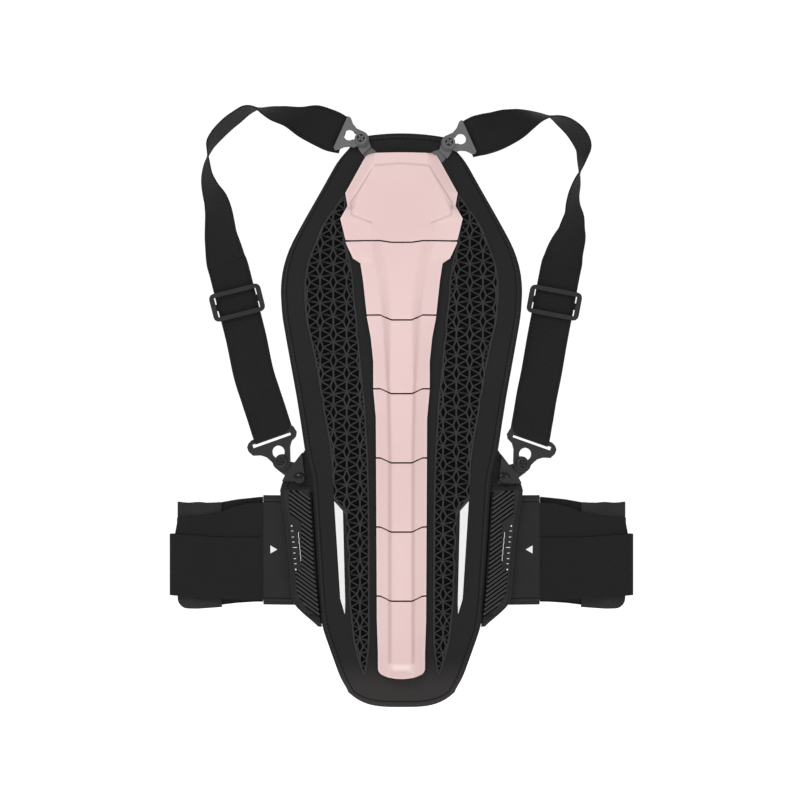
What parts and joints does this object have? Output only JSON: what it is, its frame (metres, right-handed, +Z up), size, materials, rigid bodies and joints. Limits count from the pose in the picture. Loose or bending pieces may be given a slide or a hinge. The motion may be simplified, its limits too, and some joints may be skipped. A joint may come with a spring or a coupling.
{
  "type": "motorcycle back protector",
  "caption": "Articulated spine protector: hard plates hinged in a chain on a padded backing, with folding waist belts and adjustable shoulder straps.",
  "frame": {"origin": "centre of the flat inner face of the lumbar foam pad, where the protector rests on the wearer's waist", "axes": "+Z up along the spine, -Y outwards away from the wearer, +X to the right as seen from behind the wearer"},
  "size_m": [0.438, 0.0815, 0.5694],
  "materials": {
    "shell": "pale pink hard shell, satin gloss",
    "backing": "black mesh fabric over foam, with a raised grey lattice and a stitched hem",
    "pad": "soft black spacer mesh over foam",
    "wing": "black mesh fabric with a bound edge",
    "wing_panel": "black moulded panel with fine slanting grooves",
    "black_plastic": "black, fine grained",
    "grey_plastic": "mid grey, fine grained",
    "pin_steel": "bright steel wire",
    "belt_tab": "black looped fabric with hemmed edges",
    "elastic": "black ribbed elastic",
    "webbing": "black woven webbing with edge lines"
  },
  "bodies": {
    "segment_1": {"spine_plate_1": "shell", "back_panel_1": "backing", "foam_pad_1": "pad", "shoulder_bracket_left": "grey_plastic", "shoulder_stud_left": "grey_plastic", "upper_webbing_left": "webbing", "shoulder_bracket_right": "grey_plastic", "shoulder_stud_right": "grey_plastic", "upper_webbing_right": "webbing"},
    "segment_2": {"spine_plate_2": "shell", "back_panel_2": "backing", "foam_pad_2": "pad", "hinge_pin_1": "pin_steel", "middle_webbing_left": "webbing", "middle_webbing_right": "webbing"},
    "segment_3": {"spine_plate_3": "shell", "back_panel_3": "backing", "foam_pad_3": "pad", "hinge_pin_2": "pin_steel", "lower_webbing_left": "webbing", "lower_webbing_right": "webbing"},
    "segment_4": {"spine_plate_4": "shell", "back_panel_4": "backing", "foam_pad_4": "pad", "hinge_pin_3": "pin_steel"},
    "segment_5": {"spine_plate_5": "shell", "back_panel_5": "backing", "foam_pad_5": "pad", "hinge_pin_4": "pin_steel", "hook_ear_left": "black_plastic", "waist_stud_left": "black_plastic", "wing_rivet_left": "black_plastic", "hook_ear_right": "black_plastic", "waist_stud_right": "black_plastic", "wing_rivet_right": "black_plastic"},
    "segment_6": {"spine_plate_6": "shell", "back_panel_6": "backing", "foam_pad_6": "pad", "hinge_pin_5": "pin_steel", "side_wing_left": "wing", "wing_panel_left": "wing_panel", "side_wing_right": "wing", "wing_panel_right": "wing_panel"},
    "segment_7": {"spine_plate_7": "shell", "back_panel_7": "backing", "foam_pad_7": "pad", "hinge_pin_6": "pin_steel"},
    "upper_hook_left": {"upper_hook_left": "grey_plastic"},
    "lower_hook_left": {"lower_hook_left": "black_plastic"},
    "slider_left": {"strap_slider_left": "black_plastic"},
    "belt_tab_left": {"belt_tab_left": "belt_tab"},
    "belt_band_left": {"belt_band_left": "elastic"},
    "belt_tail_left": {"belt_tail_left": "elastic"},
    "upper_hook_right": {"upper_hook_right": "grey_plastic"},
    "lower_hook_right": {"lower_hook_right": "black_plastic"},
    "slider_right": {"strap_slider_right": "black_plastic"},
    "belt_tab_right": {"belt_tab_right": "belt_tab"},
    "belt_band_right": {"belt_band_right": "elastic"},
    "belt_tail_right": {"belt_tail_right": "elastic"}
  },
  "joints": [
    {"name": "spine_bend_5", "type": "hinge", "parent": "segment_6", "child": "segment_5", "pos_m": [0, -0.022, 0.02], "axis": [-1, 0, 0], "range_deg": [-2, 10], "stiffness_Nm_per_rad": 8},
    {"name": "spine_bend_4", "type": "hinge", "parent": "segment_5", "child": "segment_4", "pos_m": [0, -0.022, 0.085], "axis": [-1, 0, 0], "range_deg": [-2, 10], "stiffness_Nm_per_rad": 8},
    {"name": "spine_bend_3", "type": "hinge", "parent": "segment_4", "child": "segment_3", "pos_m": [0, -0.02666, 0.15], "axis": [-1, 0, 0], "range_deg": [-2, 10], "stiffness_Nm_per_rad": 8},
    {"name": "spine_bend_2", "type": "hinge", "parent": "segment_3", "child": "segment_2", "pos_m": [0, -0.03562, 0.219], "axis": [-1, 0, 0], "range_deg": [-2, 10], "stiffness_Nm_per_rad": 8},
    {"name": "spine_bend_1", "type": "hinge", "parent": "segment_2", "child": "segment_1", "pos_m": [0, -0.03719, 0.29], "axis": [-1, 0, 0], "range_deg": [-2, 10], "stiffness_Nm_per_rad": 8},
    {"name": "spine_bend_6", "type": "hinge", "parent": "segment_6", "child": "segment_7", "pos_m": [0, -0.022, -0.045], "axis": [1, 0, 0], "range_deg": [-2, 10], "stiffness_Nm_per_rad": 8},
    {"name": "upper_hook_swivel_left", "type": "hinge", "parent": "segment_1", "child": "upper_hook_left", "pos_m": [-0.03785, -0.02497, 0.38727], "axis": [-0.0603, -0.991, 0.1192], "range_deg": [-12, 12]},
    {"name": "lower_hook_swivel_left", "type": "hinge", "parent": "segment_5", "child": "lower_hook_left", "pos_m": [-0.11344, -0.00637, 0.0837], "axis": [-0.181, -0.9835, 0], "range_deg": [-12, 12]},
    {"name": "slider_travel_left", "type": "slide", "parent": "segment_2", "child": "slider_left", "axis": [-0.2457, 0, 0.9693], "range_m": [-0.015, 0.015]},
    {"name": "belt_height_left", "type": "slide", "parent": "segment_6", "child": "belt_tab_left", "axis": [0, 0, 1], "range_m": [-0.008, 0.005]},
    {"name": "belt_wrap_left", "type": "hinge", "parent": "belt_tab_left", "child": "belt_band_left", "pos_m": [-0.1317, 0.00595, 0], "axis": [0, 0, -1], "range_deg": [-20, 60], "stiffness_Nm_per_rad": 0.08},
    {"name": "belt_unfold_left", "type": "hinge", "parent": "belt_band_left", "child": "belt_tail_left", "pos_m": [-0.221, 0.03445, 0], "axis": [0, 0, 1], "range_deg": [0, 150]},
    {"name": "upper_hook_swivel_right", "type": "hinge", "parent": "segment_1", "child": "upper_hook_right", "pos_m": [0.04438, -0.025, 0.38357], "axis": [0.0706, -0.9898, 0.1235], "range_deg": [-12, 12]},
    {"name": "lower_hook_swivel_right", "type": "hinge", "parent": "segment_5", "child": "lower_hook_right", "pos_m": [0.11406, -0.00625, 0.0816], "axis": [0.1819, -0.9833, 0], "range_deg": [-12, 12]},
    {"name": "slider_travel_right", "type": "slide", "parent": "segment_2", "child": "slider_right", "axis": [0.1875, 0, 0.9823], "range_m": [-0.015, 0.015]},
    {"name": "belt_height_right", "type": "slide", "parent": "segment_6", "child": "belt_tab_right", "axis": [0, 0, 1], "range_m": [-0.008, 0.005]},
    {"name": "belt_wrap_right", "type": "hinge", "parent": "belt_tab_right", "child": "belt_band_right", "pos_m": [0.1317, 0.00595, 0], "axis": [0, 0, 1], "range_deg": [-20, 60], "stiffness_Nm_per_rad": 0.08},
    {"name": "belt_unfold_right", "type": "hinge", "parent": "belt_band_right", "child": "belt_tail_right", "pos_m": [0.221, 0.03445, 0], "axis": [0, 0, -1], "range_deg": [0, 150]}
  ]
}
